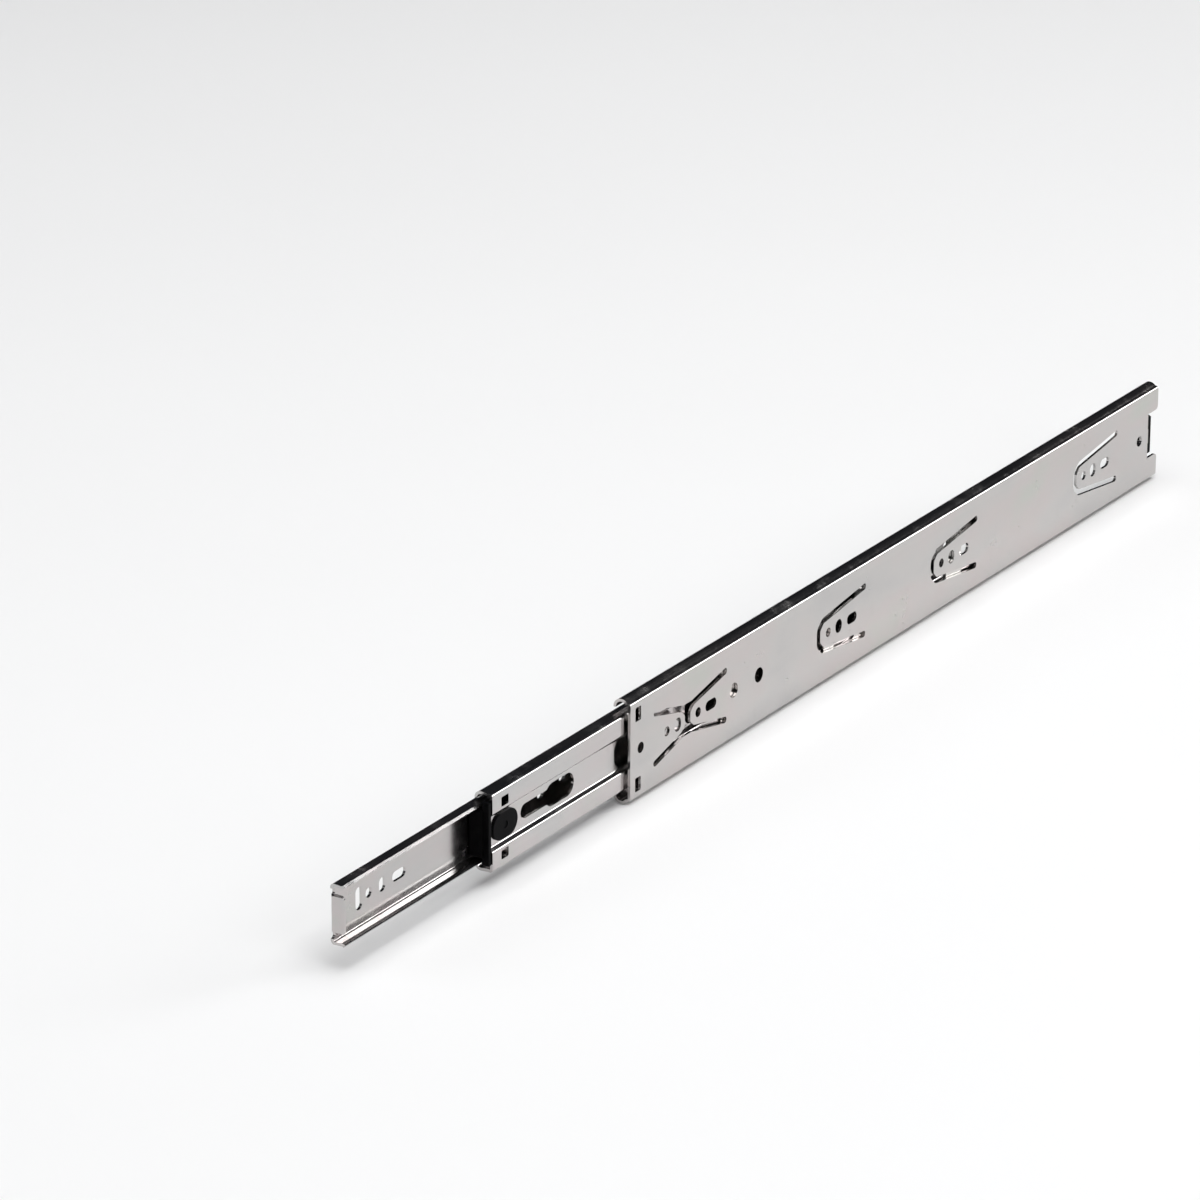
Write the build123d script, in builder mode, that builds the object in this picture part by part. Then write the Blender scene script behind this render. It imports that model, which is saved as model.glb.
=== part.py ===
from build123d import *
import math
import os

# Full-extension ball-bearing drawer slide, drawn part of the way out.
# Origin: the middle of the cabinet member's mounting face.
# X runs from the front of the cabinet to its back, Y from the cabinet wall to the drawer, Z up.

# Whole slide
slide_height = 45.7
slide_thickness = 12.7
member_length = 450.0
intermediate_length = 435.5
drawer_length = 443.0
sheet = 1.2

# How far each member stands out of the one that carries it, at rest and when closed
intermediate_out = 97.8
drawer_out = 96.7
closed_setback = 4.5

# Bearing balls, and the room that they run in
outer_ball = 4.76
inner_ball = 3.0
ball_gap = 0.1
ball_pitch = 13.0
ball_count = 15

# Ends of the three members along X
cabinet_front = -member_length / 2
cabinet_rear = member_length / 2
intermediate_front = cabinet_front - intermediate_out
drawer_front = intermediate_front - drawer_out

# Radii of the raceways, and the centres of the upper ball rows as (Y, Z)
outer_race = outer_ball / 2 + ball_gap
inner_race = inner_ball / 2 + ball_gap
outer_row = (4.45, slide_height / 2 - sheet - outer_race)
inner_row = (7.8, 14.1)

# Cabinet member's section
cabinet_bend = 1.35
shoulder_z = 21.5
neck_fillet = 0.35
cabinet_lip_angle = -5

# Intermediate member's section
intermediate_face = 2.25
intermediate_bend = 1.4
recess_depth = 1.9
recess_half = 6.6
recess_slope = 1.5
recess_windows = [(92.0, 116.0), (146.0, 214.0), (240.0, 300.0), (358.0, 389.0)]
intermediate_lip_angle = -15

# Drawer member's section
drawer_bend = 1.75
drawer_flange_z = 12.75
drawer_lip_angle = -130

# Keyhole slot, as two overlapping slots: (distance from the member's front, (length, height))
keyhole = [(35.0, (24.0, 6.4)), (51.5, (21.0, 10.0))]
recess_window_height = 11.6

# Mounting tongues that are cut into the cabinet member's web
tongue_slot = 2.8
tongue_starts = [147.0, 243.0, 371.0]
tongue_length = 40.5
tongue_root_z = 10.8
tongue_tip_z = 6.6

# The two facing tongues near the front: (tip, root, height at the root)
facing_tongues = [(41.7, 19.0, 11.0), (46.0, 73.0, 10.8)]
facing_tip_z = 5.8

# Screw holes in the cabinet member: (distance from the front or from the tongue, (width, height))
tongue_holes = [(9.4, (4.0, 4.0)), (18.0, (5.2, 6.0)), (29.0, (8.0, 4.5))]
cabinet_holes = [
    (7.8, (4.7, 4.7)),
    (27.8, (4.2, 4.2)),
    (36.2, (5.0, 6.0)),
    (52.0, (4.2, 4.2)),
    (62.0, (8.5, 4.5)),
    (80.0, (6.5, 6.5)),
    (100.0, (6.5, 6.5)),
    (433.0, (4.8, 4.8)),
]

# Screw holes in the drawer member: the groups' starts, one group, and two more near the back
group_starts = [0.0, 128.0, 320.0]
group_holes = [(17.4, (4.5, 9.7)), (24.1, (4.2, 4.2)), (33.3, (4.3, 6.0)), (44.9, (9.3, 4.3))]
drawer_rear_holes = [(419.6, (4.0, 4.0)), (428.6, (3.5, 9.0))]

# Stops folded out of windows: distance from the front, Z of window and flap, and their sizes
cabinet_stop = 5.85
cabinet_stop_z = (15.35, 18.9)
cabinet_stop_window = (4.3, 6.1)
cabinet_stop_flap = (4.1, 4.2, 1.0)
intermediate_stop = 8.95
intermediate_stop_z = (11.25, 13.8)
intermediate_stop_window = (5.1, 4.1)
intermediate_stop_flap = (4.9, 2.4, 1.0)

# Ball retainers
retainer_sheet = 0.5
outer_retainer_length = 200.0
inner_retainer_length = 204.0
outer_retainer_y = 1.45
outer_retainer_arm = 3.9
outer_retainer_window = (18.0, 22.0)
inner_retainer_y = 3.8
inner_retainer_edges = (8.9, 9.6)
outer_retainer_middle = cabinet_front + 223.4 - (closed_setback + intermediate_out) / 2
inner_retainer_middle = intermediate_front + 224.75 - (drawer_out - closed_setback) / 2

# Rear bumper and the tab that holds it
rear_notch_x = cabinet_front + 441.0
rear_notch_half = 10.7
rear_tab_half = 3.5
rear_tab_depth = 8.2
rear_bumper_size = (4.5, 8.6, 18.6)
rear_bumper_sill = 0.7

# Front bumper
bumper_nose = 3.2
bumper_back = 18.0
bumper_half = 10.5
bumper_plate_half = 13.5
bumper_plate_thick = 2.2
bumper_head_x = intermediate_front + 10.9
bumper_head_size = (17.4, 11.2)
bumper_head_thick = 0.9
bumper_neck_size = (13.0, 8.0)

# Drawer member's front tab
front_tab_half = 8.2
front_tab_y = 6.4
relief_r = 1.5

# Release lever and its rivet
lever_x = drawer_front + 292.4
lever_thick = (8.2, 11.2)
lever_tip = 46.4
lever_tail = 30.0
lever_hub = 9.0
rivet_r = 1.9


def angle_to(start, end):
    """Direction from one point of the section to another, in degrees."""
    return math.degrees(math.atan2(end[1] - start[1], end[0] - start[0]))


def on_circle(centre, radius, angle):
    """The point of a circle at an angle in degrees."""
    turn = math.radians(angle)
    return (centre[0] + radius * math.cos(turn), centre[1] + radius * math.sin(turn))


def cross_tangent(first, first_r, second, second_r, side):
    """Ends of the straight line that touches two circles and crosses between them."""
    spread = math.degrees(math.acos((first_r + second_r) / math.dist(first, second)))
    angle = angle_to(first, second) + side * spread
    return angle, on_circle(first, first_r, angle), on_circle(second, second_r, angle + 180)


def arc(centre, radius, start, end):
    """An arc of the section's outer line, from one angle to another."""
    return CenterArc(centre, radius, start, end - start)


def folded_sheet(half_line, side, start, length):
    """A member's blank: the upper half of its outer line, given its thickness and mirrored."""
    with BuildPart() as blank:
        with BuildSketch(Plane.YZ.offset(start)):
            with BuildLine():
                add(half_line)
                offset(amount=sheet, side=side)
            make_face()
            mirror(about=Plane.XZ)
        extrude(amount=length)
    return blank.part


def web_cut(outline, *places):
    """Cuts outlines drawn in the web's plane right through it."""
    with BuildSketch(Plane.XZ) as cut:
        with Locations(*places):
            add(outline)
    extrude(cut.sketch, amount=slide_thickness + 1, both=True, mode=Mode.SUBTRACT)


def hole(width, height):
    """A round hole, or a slot with round ends along X or along Z."""
    with BuildSketch(mode=Mode.PRIVATE) as shape:
        if width == height:
            Circle(width / 2)
        elif width > height:
            SlotOverall(width, height)
        else:
            SlotOverall(height, width, rotation=90)
    return shape.sketch


def window(width, height, corner):
    """A rectangular opening with rounded corners."""
    with BuildSketch(mode=Mode.PRIVATE) as shape:
        RectangleRounded(width, height, corner)
    return shape.sketch


def tongue_outline(tip_x, root_x, root_z, tip_z):
    """The slot round a mounting tongue: two arms from the root and a rounded tip."""
    away = math.copysign(1, root_x - tip_x)
    with BuildLine():
        middle_line = FilletPolyline(
            (root_x, root_z),
            (tip_x + away * 3.5, tip_z),
            (tip_x, tip_z / 2),
            (tip_x, -tip_z / 2),
            (tip_x + away * 3.5, -tip_z),
            (root_x, -root_z),
            radius=3.0,
        )
    trace(middle_line, line_width=tongue_slot)
    with Locations((root_x, root_z), (root_x, -root_z)):
        Circle(tongue_slot / 2)


def ball_places(middle):
    """Where the balls of a row stand along X."""
    first = middle - (ball_count - 1) * ball_pitch / 2
    return [first + step * ball_pitch for step in range(ball_count)]


os.makedirs("parts", exist_ok=True)

# Cabinet member's outer line: web, bend, shoulder, neck, then over the outer balls to the lip
bend_centre = (cabinet_bend, shoulder_z - cabinet_bend)
hump_r = outer_race + sheet
neck_z = shoulder_z + neck_fillet
neck_run = math.sqrt((hump_r + neck_fillet) ** 2 - (neck_z - outer_row[1]) ** 2)
neck_centre = (outer_row[0] - neck_run, neck_z)
with BuildLine() as cabinet_line:
    Line((0, 0), (0, bend_centre[1]))
    arc(bend_centre, cabinet_bend, 180, 90)
    Line((bend_centre[0], shoulder_z), (neck_centre[0], shoulder_z))
    arc(neck_centre, neck_fillet, -90, angle_to(neck_centre, outer_row))
    arc(outer_row, hump_r, angle_to(outer_row, neck_centre), cabinet_lip_angle)

# Intermediate member's outer line: recess, web, bend, outer ball seat, then over the inner balls
floor_y = intermediate_face + recess_depth
bend_reach = outer_race + intermediate_bend
bend_y = intermediate_face + intermediate_bend
bend_z = outer_row[1] - math.sqrt(bend_reach**2 - (outer_row[0] - bend_y) ** 2)
inner_hump_r = inner_race + sheet
seat = cross_tangent(outer_row, outer_race, inner_row, inner_hump_r, -1)
with BuildLine() as intermediate_line:
    FilletPolyline(
        (floor_y, 0),
        (floor_y, recess_half),
        (intermediate_face, recess_half + recess_slope),
        (intermediate_face, bend_z),
        radius=1.3,
    )
    arc((bend_y, bend_z), intermediate_bend, 180, angle_to((bend_y, bend_z), outer_row))
    arc(outer_row, outer_race, angle_to(outer_row, (bend_y, bend_z)), seat[0])
    Line(seat[1], seat[2])
    arc(inner_row, inner_hump_r, seat[0] + 180, intermediate_lip_angle)

# Drawer member's outer line: web, bend, flange, then under the inner balls to the lip
drawer_bend_centre = (slide_thickness - drawer_bend, drawer_flange_z - drawer_bend)
flange = cross_tangent(drawer_bend_centre, drawer_bend, inner_row, inner_race, -1)
with BuildLine() as drawer_line:
    Line((slide_thickness, 0), (slide_thickness, drawer_bend_centre[1]))
    arc(drawer_bend_centre, drawer_bend, 0, flange[0])
    Line(flange[1], flange[2])
    arc(inner_row, inner_race, flange[0] - 180, drawer_lip_angle)

# Cabinet member
with BuildPart() as cabinet_member:
    add(folded_sheet(cabinet_line.line, Side.RIGHT, cabinet_front, member_length))
    # Facing pair of tongues near the front, whose slots join in the shape of an X
    with BuildSketch(Plane.XZ):
        for tip, root, root_z in facing_tongues:
            away = math.copysign(1, root - tip)
            tip_x = cabinet_front + tip - away * tongue_slot / 2
            tongue_outline(tip_x, cabinet_front + root, root_z, facing_tip_z)
        for side in (1, -1):
            with BuildLine():
                Polyline(
                    (cabinet_front + 38.6, side * 6.9),
                    (cabinet_front + 49.2, side * 6.9),
                    (cabinet_front + 43.85, side * 2.0),
                    close=True,
                )
            make_face()
    extrude(amount=2 * sheet, both=True, mode=Mode.SUBTRACT)
    # Single tongues along the web
    with BuildSketch(Plane.XZ):
        for start in tongue_starts:
            tip_x = cabinet_front + start + tongue_slot / 2
            tongue_outline(tip_x, tip_x + tongue_length - tongue_slot, tongue_root_z, tongue_tip_z)
    extrude(amount=2 * sheet, both=True, mode=Mode.SUBTRACT)
    # Screw holes, in the web and in each single tongue
    for back, size in cabinet_holes:
        web_cut(hole(*size), (cabinet_front + back, 0))
    for back, size in tongue_holes:
        web_cut(hole(*size), *[(cabinet_front + start + back, 0) for start in tongue_starts])
    # Front windows, whose flaps are folded in as stops for the outer ball retainer
    for side in (1, -1):
        web_cut(window(*cabinet_stop_window, 0.6), (cabinet_front + cabinet_stop, side * cabinet_stop_z[0]))
        with Locations((cabinet_front + cabinet_stop, sheet + 1.9, side * cabinet_stop_z[1])):
            Box(*cabinet_stop_flap)
    # Rear notch, and the tab folded in from its front edge to hold the bumper
    with Locations((cabinet_rear, sheet / 2, 0)):
        Box(2 * (cabinet_rear - rear_notch_x), 2 * sheet, 2 * rear_notch_half, mode=Mode.SUBTRACT)
    notch_corners = cabinet_member.edges().filter_by(Axis.Y).group_by(Axis.X)[-1]
    fillet(notch_corners.filter_by(lambda edge: abs(abs(edge.center().Z) - rear_notch_half) < 0.01), 2.0)
    with BuildSketch(Plane.XY.offset(-rear_tab_half)):
        with BuildLine():
            FilletPolyline(
                (rear_notch_x - 0.01, 0),
                (rear_notch_x + sheet + 0.2, 0),
                (rear_notch_x + sheet + 0.2, rear_tab_depth),
                radius=sheet + 0.15,
            )
            offset(amount=sheet, side=Side.LEFT)
        make_face()
    extrude(amount=2 * rear_tab_half)
cabinet_member.part.label = "cabinet_member"
export_step(cabinet_member.part, "parts/cabinet_member.step")

# Rear bumper: a plastic block over the tab, with three rounded lobes on each long side
with BuildPart() as rear_bumper:
    length, depth, height = rear_bumper_size
    lobe = height / 3
    middle_x = rear_notch_x + 1.65
    with BuildSketch(Plane.XZ.offset(-sheet)):
        with Locations((middle_x, 0)):
            Rectangle(length - 1.2, height - 1.2)
        with Locations(*[(middle_x, step * lobe) for step in (-1, 0, 1)]):
            RectangleRounded(length, lobe, 1.1)
    extrude(amount=-depth)
    fillet(rear_bumper.faces().sort_by(Axis.Y)[-1].edges(), 0.4)
    # Sill that fills the front of the notch in the web, up to the bumper's rear face
    sill_length = middle_x + length / 2 - 0.3 - rear_notch_x - 0.1
    with Locations((rear_notch_x + 0.1 + sill_length / 2, sheet - rear_bumper_sill / 2, 0)):
        Box(sill_length, rear_bumper_sill, height - 1.4)
    # Pocket for the cabinet member's tab
    with Locations((rear_notch_x + sheet / 2 + 0.1, 0, 0)):
        Box(sheet + 0.4, 2 * rear_tab_depth, 2 * rear_tab_half + 0.2, mode=Mode.SUBTRACT)
rear_bumper.part.label = "rear_bumper"
export_step(rear_bumper.part, "parts/rear_bumper.step")

# Intermediate member
with BuildPart() as intermediate_member:
    add(folded_sheet(intermediate_line.line, Side.RIGHT, intermediate_front, intermediate_length))
    # Keyhole slot behind the bumper
    for back, size in keyhole:
        web_cut(hole(*size), (intermediate_front + back, 0))
    # Long windows in the floor of the recess
    for start, end in recess_windows:
        middle = intermediate_front + (start + end) / 2
        web_cut(window(end - start, recess_window_height, 4.0), (middle, 0))
    # Small windows, whose flaps are folded in as stops for the inner ball retainers
    for side in (1, -1):
        stop_x = intermediate_front + intermediate_stop
        web_cut(window(*intermediate_stop_window, 0.5), (stop_x, side * intermediate_stop_z[0]))
        with Locations((stop_x, intermediate_face + sheet + 1.0, side * intermediate_stop_z[1])):
            Box(*intermediate_stop_flap)
    # Neck hole of the front bumper
    web_cut(hole(*bumper_neck_size), (bumper_head_x, 0))
intermediate_member.part.label = "intermediate_member"
export_step(intermediate_member.part, "parts/intermediate_member.step")

# Front bumper: head outside, neck through the web, block and nose plate inside
with BuildPart() as front_bumper:
    block_front = intermediate_front - bumper_nose
    block_back = intermediate_front + bumper_back
    block_y = (floor_y + sheet, slide_thickness - sheet - 0.3)
    with BuildSketch(Plane.XZ.offset(-block_y[0])):
        with Locations(((block_front + block_back) / 2, 0)):
            RectangleRounded(block_back - block_front, 2 * bumper_half, 1.5)
    extrude(amount=block_y[0] - block_y[1])
    fillet(front_bumper.faces().sort_by(Axis.Y)[-1].edges(), 0.5)
    # Room cut behind the nose, so that the block gives a little when the tab hits it
    with Locations((block_front + 6.0, block_y[1], 0)):
        Box(1.6, 6.0, 2 * bumper_half - 5, mode=Mode.SUBTRACT)
    # Nose plate ahead of the member's edge
    with BuildSketch(Plane.XZ.offset(-intermediate_face - 0.4)):
        with Locations((intermediate_front - bumper_plate_thick / 2 - 0.1, 0)):
            RectangleRounded(bumper_plate_thick, 2 * bumper_plate_half, 0.7)
    extrude(amount=-(block_y[0] + 0.3 - intermediate_face - 0.4))
    # Neck and head
    with BuildSketch(Plane.XZ.offset(-block_y[0])):
        with Locations((bumper_head_x, 0)):
            SlotOverall(*bumper_neck_size)
    extrude(amount=block_y[0] - floor_y)
    with BuildSketch(Plane.XZ.offset(-floor_y)):
        with Locations((bumper_head_x, 0)):
            SlotOverall(*bumper_head_size)
    extrude(amount=bumper_head_thick)
    fillet(front_bumper.faces().sort_by(Axis.Y)[0].edges(), 0.35)
    with Locations((bumper_head_x, floor_y - bumper_head_thick, 0)):
        Cylinder(1.6, 0.8, rotation=(90, 0, 0), mode=Mode.SUBTRACT)
front_bumper.part.label = "front_bumper"
export_step(front_bumper.part, "parts/front_bumper.step")

# Drawer member
with BuildPart() as drawer_member:
    add(folded_sheet(drawer_line.line, Side.LEFT, drawer_front, drawer_length))
    # Screw holes in three groups, two more near the back, and the rivet's hole
    for back, size in group_holes:
        web_cut(hole(*size), *[(drawer_front + start + back, 0) for start in group_starts])
    for back, size in drawer_rear_holes:
        web_cut(hole(*size), (drawer_front + back, 0))
    web_cut(hole(2 * rivet_r, 2 * rivet_r), (lever_x, 0))
    # Front tab, folded towards the cabinet wall, with a relief notch on each side of the fold
    with BuildSketch(Plane.YZ.offset(drawer_front)):
        with Locations(((front_tab_y + slide_thickness) / 2, 0)):
            RectangleRounded(slide_thickness - front_tab_y, 2 * front_tab_half, 2.0)
        with Locations((slide_thickness - 1.5, 0)):
            Rectangle(3.0, 2 * front_tab_half)
    extrude(amount=sheet)
    notches = [(drawer_front, side * (front_tab_half + 0.8)) for side in (1, -1)]
    web_cut(hole(2 * relief_r, 2 * relief_r), *notches)
    fold_edge = drawer_member.edges().filter_by(Axis.Z).group_by(Axis.X)[0].sort_by(Axis.Y)[-1]
    fillet(fold_edge, 1.1)
drawer_member.part.label = "drawer_member"
export_step(drawer_member.part, "parts/drawer_member.step")

# Lever rivet: flush with the web outside, with a round head under the lever
with BuildPart() as lever_rivet:
    with BuildSketch(Plane.XZ.offset(-slide_thickness)):
        with Locations((lever_x, 0)):
            Circle(rivet_r)
    extrude(amount=slide_thickness - lever_thick[0])
    with BuildSketch(Plane.XZ.offset(-lever_thick[0])):
        with Locations((lever_x, 0)):
            Circle(3.4)
    extrude(amount=0.6)
    fillet(lever_rivet.faces().sort_by(Axis.Y)[0].edges(), 0.3)
lever_rivet.part.label = "lever_rivet"
export_step(lever_rivet.part, "parts/lever_rivet.step")

# Release lever: a flat plastic arm that turns about the rivet
with BuildPart() as release_lever:
    with BuildSketch(Plane.XZ.offset(-lever_thick[0] - 0.1)):
        with BuildLine():
            FilletPolyline(
                (lever_x - lever_tip, 1.6),
                (lever_x - lever_tip + 6, 4.2),
                (lever_x - 16, 3.6),
                (lever_x - 11, lever_hub),
                (lever_x + 4, lever_hub),
                (lever_x + 11, 3.4),
                (lever_x + lever_tail - 8, 3.0),
                (lever_x + lever_tail, 5.2),
                (lever_x + lever_tail, -5.2),
                (lever_x + lever_tail - 8, -3.0),
                (lever_x + 11, -3.4),
                (lever_x + 4, -lever_hub),
                (lever_x - 11, -lever_hub),
                (lever_x - 16, -3.6),
                (lever_x - lever_tip + 6, -4.2),
                (lever_x - lever_tip, -1.6),
                radius=1.4,
                close=True,
            )
        make_face()
        with Locations((lever_x, 0)):
            Circle(rivet_r + 0.1, mode=Mode.SUBTRACT)
    extrude(amount=-(lever_thick[1] - lever_thick[0] - 0.1))
release_lever.part.label = "release_lever"
export_step(release_lever.part, "parts/release_lever.step")

# Outer ball retainer: one strip, with an arm for each ball row
with BuildPart() as outer_ball_retainer:
    arm_z = outer_row[1] + retainer_sheet / 2
    arm_y = outer_retainer_y + outer_retainer_arm
    with BuildSketch(Plane.YZ.offset(outer_retainer_middle - outer_retainer_length / 2)):
        with BuildLine():
            FilletPolyline(
                (arm_y, arm_z),
                (outer_retainer_y, arm_z),
                (outer_retainer_y, -arm_z),
                (arm_y, -arm_z),
                radius=0.8,
            )
            offset(amount=retainer_sheet, side=Side.LEFT)
        make_face()
    extrude(amount=outer_retainer_length)
    for side in (1, -1):
        with Locations(*[(x, outer_row[0], side * outer_row[1]) for x in ball_places(outer_retainer_middle)]):
            Cylinder(outer_race, 3.0, mode=Mode.SUBTRACT)
            with Locations((0, -outer_race, 0)):
                Box(2 * outer_race, 2 * outer_race, 3.6, mode=Mode.SUBTRACT)
    openings = [(outer_retainer_middle + step * 2 * ball_pitch, 0) for step in range(-3, 4)]
    web_cut(window(*outer_retainer_window, 3.0), *openings)
outer_ball_retainer.part.label = "outer_ball_retainer"
export_step(outer_ball_retainer.part, "parts/outer_ball_retainer.step")

# Inner ball retainers: an angle strip for each ball row
for side, row in ((1, "upper"), (-1, "lower")):
    arm_z = inner_row[1] + retainer_sheet / 2
    with BuildPart() as inner_retainer:
        with BuildSketch(Plane.YZ.offset(inner_retainer_middle - inner_retainer_length / 2)):
            with BuildLine():
                FilletPolyline(
                    (inner_retainer_edges[0], side * arm_z),
                    (inner_retainer_y, side * arm_z),
                    (inner_retainer_y, side * inner_retainer_edges[1]),
                    radius=0.7,
                )
                offset(amount=retainer_sheet, side=Side.LEFT if side > 0 else Side.RIGHT)
            make_face()
        extrude(amount=inner_retainer_length)
        with Locations(*[(x, inner_row[0], side * inner_row[1]) for x in ball_places(inner_retainer_middle)]):
            Cylinder(inner_race, 3.0, mode=Mode.SUBTRACT)
    inner_retainer.part.label = "inner_ball_retainer_" + row
    export_step(inner_retainer.part, "parts/inner_ball_retainer_" + row + ".step")

# Ball rows
for side, row in ((1, "upper"), (-1, "lower")):
    with BuildPart() as outer_balls:
        with Locations(*[(x, outer_row[0], side * outer_row[1]) for x in ball_places(outer_retainer_middle)]):
            Sphere(outer_ball / 2)
    outer_balls.part.label = "outer_balls_" + row
    export_step(outer_balls.part, "parts/outer_balls_" + row + ".step")
    with BuildPart() as inner_balls:
        with Locations(*[(x, inner_row[0], side * inner_row[1]) for x in ball_places(inner_retainer_middle)]):
            Sphere(inner_ball / 2)
    inner_balls.part.label = "inner_balls_" + row
    export_step(inner_balls.part, "parts/inner_balls_" + row + ".step")
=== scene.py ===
import bpy
import bmesh
import math
import numpy as np
from mathutils import Matrix, Vector


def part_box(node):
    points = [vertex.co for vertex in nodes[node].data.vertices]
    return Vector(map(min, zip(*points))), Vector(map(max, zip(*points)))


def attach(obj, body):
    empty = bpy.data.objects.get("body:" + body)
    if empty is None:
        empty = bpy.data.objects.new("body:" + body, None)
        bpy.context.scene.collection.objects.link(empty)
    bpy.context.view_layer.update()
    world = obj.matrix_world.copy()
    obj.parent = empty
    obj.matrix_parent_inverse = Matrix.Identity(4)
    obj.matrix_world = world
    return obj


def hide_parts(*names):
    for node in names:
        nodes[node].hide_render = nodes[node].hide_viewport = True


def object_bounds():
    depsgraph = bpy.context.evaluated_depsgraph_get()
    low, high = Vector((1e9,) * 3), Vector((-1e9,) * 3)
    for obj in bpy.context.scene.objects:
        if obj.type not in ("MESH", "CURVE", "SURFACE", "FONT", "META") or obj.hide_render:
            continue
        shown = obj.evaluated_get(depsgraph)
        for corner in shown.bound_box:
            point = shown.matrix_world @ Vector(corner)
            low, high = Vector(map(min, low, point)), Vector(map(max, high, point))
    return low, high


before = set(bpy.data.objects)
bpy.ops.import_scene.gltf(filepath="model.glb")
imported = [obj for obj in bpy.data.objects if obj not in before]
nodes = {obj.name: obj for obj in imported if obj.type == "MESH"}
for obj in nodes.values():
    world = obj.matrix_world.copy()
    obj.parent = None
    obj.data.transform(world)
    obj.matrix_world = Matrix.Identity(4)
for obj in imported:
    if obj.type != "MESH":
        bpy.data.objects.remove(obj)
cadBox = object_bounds()
mm = 0.001
print("frame loaded,", len(nodes), "nodes")


def newMaterial(name):
    mat = bpy.data.materials.new(name)
    mat.use_nodes = True
    tree = mat.node_tree
    return mat, tree, tree.nodes["Principled BSDF"]


def addNoise(tree, scale, detail, stretch=(1, 1, 1), rough=0.55):
    # noise on object coordinates; stretch > 1 packs it tighter along that axis
    coord = tree.nodes.new("ShaderNodeTexCoord")
    mapping = tree.nodes.new("ShaderNodeMapping")
    mapping.inputs["Scale"].default_value = stretch
    tree.links.new(coord.outputs["Object"], mapping.inputs["Vector"])
    noise = tree.nodes.new("ShaderNodeTexNoise")
    noise.inputs["Scale"].default_value = scale
    noise.inputs["Detail"].default_value = detail
    noise.inputs["Roughness"].default_value = rough
    tree.links.new(mapping.outputs["Vector"], noise.inputs["Vector"])
    return noise


def addRamp(tree, source, stops):
    ramp = tree.nodes.new("ShaderNodeValToRGB")
    band = ramp.color_ramp
    while len(band.elements) < len(stops):
        band.elements.new(0.5)
    for element, (place, colour) in zip(band.elements, stops):
        element.position = place
        element.color = (*colour, 1)
    tree.links.new(source, ramp.inputs["Fac"])
    return ramp


def addMath(tree, kind, first, second):
    node = tree.nodes.new("ShaderNodeMath")
    node.operation = kind
    for socket, value in zip(node.inputs, (first, second)):
        if isinstance(value, (int, float)):
            socket.default_value = value
        else:
            tree.links.new(value, socket)
    return node.outputs[0]


def addBump(tree, shader, heights):
    # heights: list of (socket, strength, distance in metres), laid one over the other
    last = None
    for socket, strength, distance in heights:
        bump = tree.nodes.new("ShaderNodeBump")
        bump.inputs["Strength"].default_value = strength
        bump.inputs["Distance"].default_value = distance
        tree.links.new(socket, bump.inputs["Height"])
        if last:
            tree.links.new(last, bump.inputs["Normal"])
        last = bump.outputs["Normal"]
    tree.links.new(last, shader.inputs["Normal"])


zinc = {
    "cloudScale": 34, "cloudStretch": (0.45, 1, 1), "cloudDulls": 0.10,
    "cloudStops": [(0.30, (0.90, 0.91, 0.93)), (0.47, (1, 1, 1)),      # place, tint times this
                   (0.58, (1.03, 0.985, 0.99)), (0.72, (0.97, 1.01, 0.97))],
    "grainScale": 900, "grainStretch": (0.03, 1, 1), "grainDulls": 0.10,
    "grainStrength": 0.10, "grainDepth": 0.00004,
    "smudgeScale": 75, "smudgeStretch": (1, 1, 0.8), "smudgeFrom": 0.52, "smudgeFull": 0.74,
    "waveScale": 55, "waveStretch": (0.5, 1, 1), "waveStrength": 0.10, "waveDepth": 0.0002,
    "leastRoughness": 0.07,
}


def zincSteel(name, tint, smudgeDulls):
    # bright zinc: cloudy patches a few cm long, fine rolling grain along X, and dull smudges
    mat, tree, shader = newMaterial(name)
    shader.inputs["Metallic"].default_value = 1.0
    cloud = addNoise(tree, zinc["cloudScale"], 4, zinc["cloudStretch"])
    stops = [(place, tuple(t * f for t, f in zip(tint, factors)))
             for place, factors in zinc["cloudStops"]]
    colours = addRamp(tree, cloud.outputs["Fac"], stops)
    tree.links.new(colours.outputs["Color"], shader.inputs["Base Color"])
    grain = addNoise(tree, zinc["grainScale"], 3, zinc["grainStretch"])
    smudge = addNoise(tree, zinc["smudgeScale"], 5, zinc["smudgeStretch"], 0.7)
    smear = addRamp(tree, smudge.outputs["Fac"],
                    [(zinc["smudgeFrom"], (0, 0, 0)), (zinc["smudgeFull"], (1, 1, 1))])
    rough = addMath(tree, "MULTIPLY", grain.outputs["Fac"], zinc["grainDulls"])
    smeared = addMath(tree, "MULTIPLY", smear.outputs["Color"], smudgeDulls)
    rough = addMath(tree, "ADD", rough, smeared)
    clouded = addMath(tree, "MULTIPLY", cloud.outputs["Fac"], zinc["cloudDulls"])
    rough = addMath(tree, "ADD", rough, clouded)
    rough = addMath(tree, "ADD", rough, zinc["leastRoughness"])
    tree.links.new(rough, shader.inputs["Roughness"])
    waves = addNoise(tree, zinc["waveScale"], 2, zinc["waveStretch"])
    addBump(tree, shader, [
        (grain.outputs["Fac"], zinc["grainStrength"], zinc["grainDepth"]),
        (waves.outputs["Fac"], zinc["waveStrength"], zinc["waveDepth"]),
    ])
    return mat


grease = {"scale": 500, "dull": (0.62, 0.61, 0.58), "clean": (0.80, 0.80, 0.81),
          "roughness": 0.22, "strength": 0.05, "depth": 0.00002}


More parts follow.
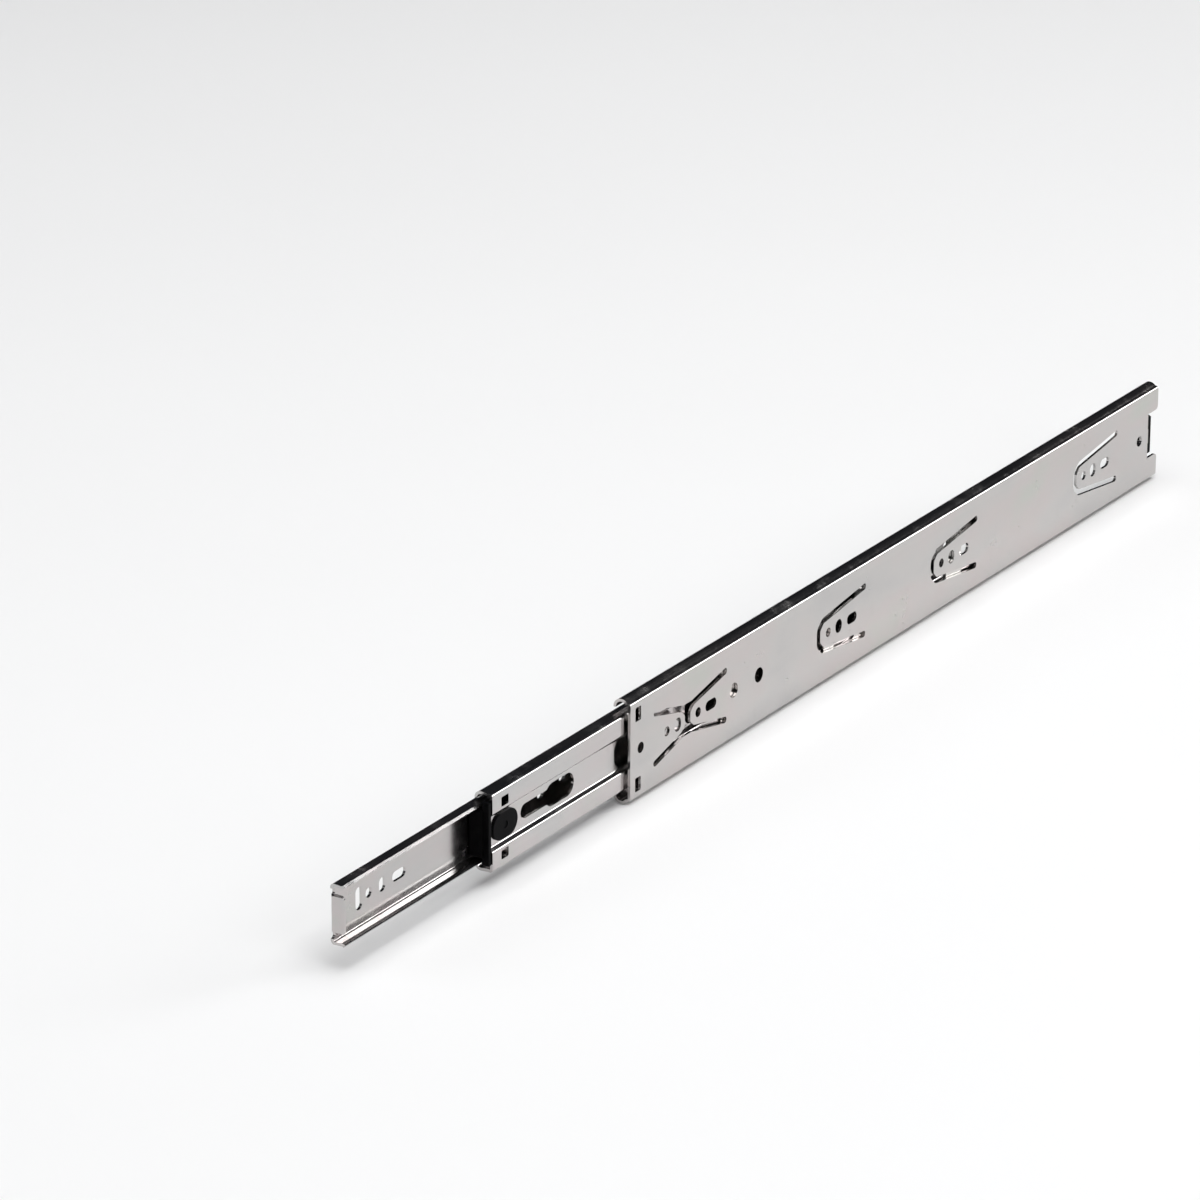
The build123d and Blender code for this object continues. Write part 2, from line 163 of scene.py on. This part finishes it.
def ballSteel():
    # hardened balls with a thin film of grease that dulls them in patches
    mat, tree, shader = newMaterial("ballSteel")
    shader.inputs["Metallic"].default_value = 1.0
    film = addNoise(tree, grease["scale"], 3)
    colours = addRamp(tree, film.outputs["Fac"], [(0.35, grease["dull"]), (0.65, grease["clean"])])
    tree.links.new(colours.outputs["Color"], shader.inputs["Base Color"])
    rough = addMath(tree, "MULTIPLY", film.outputs["Fac"], grease["roughness"])
    tree.links.new(rough, shader.inputs["Roughness"])
    addBump(tree, shader, [(film.outputs["Fac"], grease["strength"], grease["depth"])])
    return mat


plastic = {
    "rubScale": 220, "rubDulls": 0.30, "leastRoughness": 0.32, "specularLevel": 0.03,
    "black": (0.002, 0.002, 0.0025), "worn": (0.004, 0.004, 0.0045),
    "rubbed": (0.012, 0.012, 0.013),
    "sparkScale": 2600, "sparkStrength": 0.30, "sparkDepth": 0.00005,
}


def blackPlastic():
    # moulded acetal: fine spark texture, slightly paler rubbed spots
    mat, tree, shader = newMaterial("blackPlastic")
    rub = addNoise(tree, plastic["rubScale"], 5, (1, 1, 1), 0.7)
    colours = addRamp(tree, rub.outputs["Fac"], [
        (0.35, plastic["black"]), (0.60, plastic["worn"]), (0.78, plastic["rubbed"]),
    ])
    tree.links.new(colours.outputs["Color"], shader.inputs["Base Color"])
    spark = addNoise(tree, plastic["sparkScale"], 2)
    rough = addMath(tree, "MULTIPLY", rub.outputs["Fac"], plastic["rubDulls"])
    rough = addMath(tree, "ADD", rough, plastic["leastRoughness"])
    tree.links.new(rough, shader.inputs["Roughness"])
    shader.inputs["Specular IOR Level"].default_value = plastic["specularLevel"]
    addBump(tree, shader, [(spark.outputs["Fac"], plastic["sparkStrength"], plastic["sparkDepth"])])
    return mat


finishes = {
    "cabinetZinc": zincSteel("cabinetZinc", (0.53, 0.515, 0.505), 0.16),
    "middleZinc": zincSteel("middleZinc", (0.53, 0.52, 0.515), 0.13),
    "drawerZinc": zincSteel("drawerZinc", (0.50, 0.49, 0.485), 0.14),
    "retainerZinc": zincSteel("retainerZinc", (0.60, 0.59, 0.57), 0.20),
    "ballSteel": ballSteel(),
    "blackPlastic": blackPlastic(),
}
print("materials made")


def meshPiece(name, verts, faces, body, material, smoothBelow):
    mesh = bpy.data.meshes.new(name)
    mesh.from_pydata([tuple(v) for v in verts], [], [tuple(f) for f in faces])
    mesh.validate()
    piece = bpy.data.objects.new(name, mesh)
    bpy.context.scene.collection.objects.link(piece)
    mesh.materials.append(material)
    mesh.shade_smooth()
    mesh.set_sharp_from_angle(angle=math.radians(smoothBelow))
    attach(piece, body)
    return piece


def gridFaces(rows, cols):
    # quads between neighbouring rings of points: open from row to row, each row closed round
    r, c = [a.ravel() for a in np.meshgrid(np.arange(rows - 1), np.arange(cols), indexing="ij")]
    r2, c2 = r + 1, (c + 1) % cols
    return np.stack([r * cols + c, r * cols + c2, r2 * cols + c2, r2 * cols + c], axis=1)


def turnOutwards(piece):
    # a closed mesh whose faces were laid without care for their side
    edit = bmesh.new()
    edit.from_mesh(piece.data)
    bmesh.ops.recalc_face_normals(edit, faces=edit.faces)
    edit.to_mesh(piece.data)
    edit.free()


skinMesh = {
    "mergeWithin": 2e-6,       # metres
    "flatWithin": 0.2,         # degrees: faces this close to one plane become one
    "bevelAbove": 50,          # degrees: only edges sharper than this are bevelled
    "smoothBelow": 24,         # degrees: gentler steps shade as one curve
}


def skinOf(node, body, material, edge):
    # a merged copy of a CAD node: its bends shade as smooth curves, and its cut edges have a
    # single flat bevel of `edge` mm
    mesh = nodes[node].data.copy()
    mesh.name = node + "Skin"
    edit = bmesh.new()
    edit.from_mesh(mesh)
    bmesh.ops.remove_doubles(edit, verts=edit.verts, dist=skinMesh["mergeWithin"])
    bmesh.ops.dissolve_limit(edit, angle_limit=math.radians(skinMesh["flatWithin"]),
                             verts=edit.verts, edges=edit.edges)
    if edge:
        steepest = math.radians(skinMesh["bevelAbove"])
        sharp = [e for e in edit.edges if len(e.link_faces) == 2 and e.calc_face_angle() > steepest]
        bmesh.ops.bevel(edit, geom=sharp, offset=edge * mm, segments=1, profile=0.5, affect="EDGES",
                        clamp_overlap=True, loop_slide=True)
    bmesh.ops.triangulate(edit, faces=edit.faces)
    edit.to_mesh(mesh)
    edit.free()
    mesh.materials.clear()
    mesh.materials.append(material)
    mesh.shade_smooth()
    mesh.set_sharp_from_angle(angle=math.radians(skinMesh["smoothBelow"]))
    piece = bpy.data.objects.new(node + "Skin", mesh)
    bpy.context.scene.collection.objects.link(piece)
    # the large faces rule the normals, so that a flat web stays flat up to its bevels
    flatten = piece.modifiers.new("keepFlats", "WEIGHTED_NORMAL")
    flatten.keep_sharp = True
    flatten.weight = 100
    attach(piece, body)
    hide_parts(node)
    return piece


skins = {
    "cabinet_member": {
        "body": "cabinet", "slot": "zinc_steel", "finish": "cabinetZinc", "edge": 0.14},
    "intermediate_member": {
        "body": "intermediate", "slot": "zinc_steel", "finish": "middleZinc", "edge": 0.14},
    "drawer_member": {
        "body": "drawer", "slot": "zinc_steel", "finish": "drawerZinc", "edge": 0.14},
    "outer_ball_retainer": {
        "body": "outer_retainer", "slot": "retainer_steel", "finish": "retainerZinc", "edge": 0},
    "inner_ball_retainer_upper": {
        "body": "inner_retainer", "slot": "retainer_steel", "finish": "retainerZinc", "edge": 0},
    "inner_ball_retainer_lower": {
        "body": "inner_retainer", "slot": "retainer_steel", "finish": "retainerZinc", "edge": 0},
    "rear_bumper": {
        "body": "cabinet", "slot": "black_plastic", "finish": "blackPlastic", "edge": 0.15},
    "front_bumper": {
        "body": "intermediate", "slot": "black_plastic", "finish": "blackPlastic", "edge": 0.15},
    "release_lever": {
        "body": "lever", "slot": "black_plastic", "finish": "blackPlastic", "edge": 0.2},
}
for node, spec in skins.items():
    skin = skinOf(node, spec["body"], finishes[spec["finish"]], spec["edge"])
    print(node, len(skin.data.polygons), "triangles")
print("skins made")

ballRows = {
    "outer_balls_upper": {"body": "outer_retainer", "count": 15, "name": "outerBallsUpper"},
    "outer_balls_lower": {"body": "outer_retainer", "count": 15, "name": "outerBallsLower"},
    "inner_balls_upper": {"body": "inner_retainer", "count": 15, "name": "innerBallsUpper"},
    "inner_balls_lower": {"body": "inner_retainer", "count": 15, "name": "innerBallsLower"},
}


ball = {"rings": 12, "spokes": 20, "smoothBelow": 80}      # steps from pole to pole, steps round


def ballRow(node, spec):
    # a ball is its centre plus its radius times (cos u, sin u cos v, sin u sin v), where u goes from
    # pole to pole and v goes round; the ball is repeated at even steps along X
    rings, spokes = ball["rings"], ball["spokes"]
    low, high = (np.array(corner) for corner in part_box(node))
    radius = (high[2] - low[2]) / 2
    centresX = np.linspace(low[0] + radius, high[0] - radius, spec["count"])
    u = np.linspace(0, np.pi, rings + 1)[1:-1, None]
    v = np.linspace(0, 2 * np.pi, spokes, endpoint=False)[None, :]
    shell = np.stack([np.cos(u) + 0 * v, np.sin(u) * np.cos(v), np.sin(u) * np.sin(v)], axis=-1)
    shell = shell.reshape(-1, 3)
    points = np.vstack([shell, [[1, 0, 0], [-1, 0, 0]]]) * radius
    quads = gridFaces(rings - 1, spokes)
    first, last = len(shell), len(shell) + 1
    k = np.arange(spokes)
    k2 = (k + 1) % spokes
    capA = np.stack([np.full(spokes, first), k2, k], axis=1)
    base = (rings - 2) * spokes
    capB = np.stack([np.full(spokes, last), base + k, base + k2], axis=1)
    centre = np.array([0, (low[1] + high[1]) / 2, (low[2] + high[2]) / 2])
    verts = np.vstack([points + centre + [x, 0, 0] for x in centresX])
    faces = []
    for step in range(spec["count"]):
        for part in (quads, capA, capB):
            faces += (part + step * len(points)).tolist()
    piece = meshPiece(spec["name"], verts, faces, spec["body"],
                      finishes["ballSteel"], ball["smoothBelow"])
    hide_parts(node)
    return piece


for node, spec in ballRows.items():
    turnOutwards(ballRow(node, spec))
print("ball rows made")

rivet = {
    "shank": 1.9 * mm,         # flush with the web outside
    "headEdge": 0.35 * mm,
    "headThick": 0.6 * mm,
    "headMiddle": 0.3 * mm,    # radius of the head's smallest ring
    "headRings": 4,
    "rimSteps": 7,
    "crownBevel": 0.12 * mm,   # how far the shank's outer edge is cut back, and from how deep
    "crownDepth": 0.1 * mm,
    "endMiddle": 0.1 * mm,     # radius of the outer end's smallest ring
    "endRings": 15,
    "starArms": 6,
    "starDepth": 0.28 * mm,
    "starReach": 1.45 * mm,
    "spokes": 72,
    "smoothBelow": 30,         # degrees
}


def stakedRivet():
    # surface of revolution about Y: radius r and height y run along the outline, from the middle of
    # the inner head to the middle of the outer end; the outer end sinks by
    # depth * (1 + cos(arms * angle)) / 2 * (1 - (r / reach) squared)
    low, high = (np.array(corner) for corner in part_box("lever_rivet"))
    axisX, axisZ = (low[0] + high[0]) / 2, (low[2] + high[2]) / 2
    headR, edge = (high[2] - low[2]) / 2, rivet["headEdge"]
    quarter = np.linspace(0, np.pi / 2, rivet["rimSteps"])
    rim = np.stack([headR - edge + edge * np.sin(quarter),
                    low[1] + edge - edge * np.cos(quarter)], axis=1)
    outwards = np.linspace(rivet["headMiddle"], headR - edge, rivet["headRings"] + 1)[:-1]
    head = np.stack([outwards, np.full(rivet["headRings"], low[1])], axis=1)
    under = low[1] + rivet["headThick"]
    shoulder = np.array([[headR, under], [rivet["shank"], under]])
    crown = rivet["shank"] - rivet["crownBevel"]
    shank = np.array([[rivet["shank"], high[1] - rivet["crownDepth"]], [crown, high[1]]])
    inwards = np.linspace(crown, rivet["endMiddle"], rivet["endRings"] + 1)[1:]
    end = np.stack([inwards, np.full(rivet["endRings"], high[1])], axis=1)
    outline = np.vstack([head, rim, shoulder, shank, end])
    angle = np.linspace(0, 2 * np.pi, rivet["spokes"], endpoint=False)
    r, y = outline[:, :1], outline[:, 1:]
    fade = np.clip(1 - (r / rivet["starReach"]) ** 2, 0, 1)
    star = (1 + np.cos(rivet["starArms"] * angle))[None, :] / 2 * fade
    onEnd = np.arange(len(outline))[:, None] >= len(outline) - len(end)
    sunk = np.where(onEnd, star * rivet["starDepth"], 0)
    points = np.stack([axisX + r * np.cos(angle), y - sunk, axisZ + r * np.sin(angle)], axis=-1)
    poles = [[axisX, low[1], axisZ], [axisX, high[1] - rivet["starDepth"], axisZ]]
    verts = np.vstack([points.reshape(-1, 3), poles])
    rows, cols = len(outline), len(angle)
    quads = gridFaces(rows, cols)
    k = np.arange(cols)
    first = np.stack([np.full(cols, rows * cols), (k + 1) % cols, k], axis=1)
    last = (rows - 1) * cols
    second = np.stack([np.full(cols, rows * cols + 1), last + k, last + (k + 1) % cols], axis=1)
    faces = quads.tolist() + first.tolist() + second.tolist()
    piece = meshPiece("stakedRivet", verts, faces, "drawer",
                      finishes["drawerZinc"], rivet["smoothBelow"])
    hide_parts("lever_rivet")
    return piece


turnOutwards(stakedRivet())
print("rivet made")

studio = {
    "floorDrop": 0.0004,        # gap under the lowest flange
    "floorSize": 30.0,
    "floorColour": (0.90, 0.90, 0.90),
    "worldColour": (0.012, 0.013, 0.016),
    "worldStrength": 1.0,
    "lightsAimAt": (0, 0, 0),
}
softBoxes = {                  # place and size in metres, power in watts
    "topBox": {
        "place": (0.0, -0.5, 2.7), "width": 3.4, "height": 3.0, "power": 100, "colour": (1, 1, 1)},
    "frontBox": {
        "place": (-1.2, -2.4, 1.6), "width": 1.6, "height": 1.0, "power": 12, "colour": (1, 1, 1)},
    "edgeBox": {
        "place": (7.2, -4.7, 2.63), "width": 3.1, "height": 2.5, "power": 170, "colour": (1, 1, 1)},
    "drawerBox": {
        "place": (-1.6, 2.4, 1.7), "width": 1.8, "height": 1.2, "power": 14,
        "colour": (0.96, 0.98, 1)},
}


def plainFloor():
    size = studio["floorSize"]
    z = cadBox[0][2] - studio["floorDrop"]
    corners = [(-size, -size, z), (size, -size, z), (size, size, z), (-size, size, z)]
    mesh = bpy.data.meshes.new("floor")
    mesh.from_pydata(corners, [], [(0, 1, 2, 3)])
    floor = bpy.data.objects.new("floor", mesh)
    bpy.context.scene.collection.objects.link(floor)
    mat, tree, shader = newMaterial("floorPaper")
    tone = addNoise(tree, 3, 2)
    paper = studio["floorColour"]
    colours = addRamp(tree, tone.outputs["Fac"],
                      [(0.3, tuple(c * 0.99 for c in paper)), (0.7, paper)])
    tree.links.new(colours.outputs["Color"], shader.inputs["Base Color"])
    shader.inputs["Roughness"].default_value = 0.9
    shader.inputs["Specular IOR Level"].default_value = 0.1
    mesh.materials.append(mat)


def softBox(name, spec):
    light = bpy.data.lights.new(name, "AREA")
    light.shape = "RECTANGLE"
    light.size = spec["width"]
    light.size_y = spec["height"]
    light.energy = spec["power"]
    light.color = spec["colour"]
    lamp = bpy.data.objects.new(name, light)
    bpy.context.scene.collection.objects.link(lamp)
    toward = (Vector(studio["lightsAimAt"]) - Vector(spec["place"])).normalized()
    turn = toward.to_track_quat("-Z", "Y").to_matrix().to_4x4()
    lamp.matrix_world = Matrix.Translation(spec["place"]) @ turn


plainFloor()
for name, spec in softBoxes.items():
    softBox(name, spec)
world = bpy.data.worlds.new("studioWorld")
world.use_nodes = True
sky = world.node_tree.nodes["Background"]
sky.inputs["Color"].default_value = (*studio["worldColour"], 1)
sky.inputs["Strength"].default_value = studio["worldStrength"]
bpy.context.scene.world = world

camSpec = {
    "place": Vector((-2357.1, -1332.8, 1058.7)) * mm,
    "forward": Vector((0.786307, 0.496957, -0.367090)),
    "right": Vector((0.535314, -0.844647, 0.003182)),
    "lens": 203.4,             # mm, as is the sensor
    "sensorWidth": 36,
    "farClip": 100,
}
camData = bpy.data.cameras.new("studioCamera")
camData.lens = camSpec["lens"]
camData.sensor_width = camSpec["sensorWidth"]
camData.clip_end = camSpec["farClip"]
camera = bpy.data.objects.new("studioCamera", camData)
bpy.context.scene.collection.objects.link(camera)
forward = camSpec["forward"].normalized()
right = camSpec["right"].normalized()
up = right.cross(forward).normalized()
turn = Matrix((right, up, -forward)).transposed().to_4x4()
camera.matrix_world = Matrix.Translation(camSpec["place"]) @ turn
bpy.context.scene.camera = camera
bpy.context.scene.view_settings.view_transform = "Standard"
print("studio set")
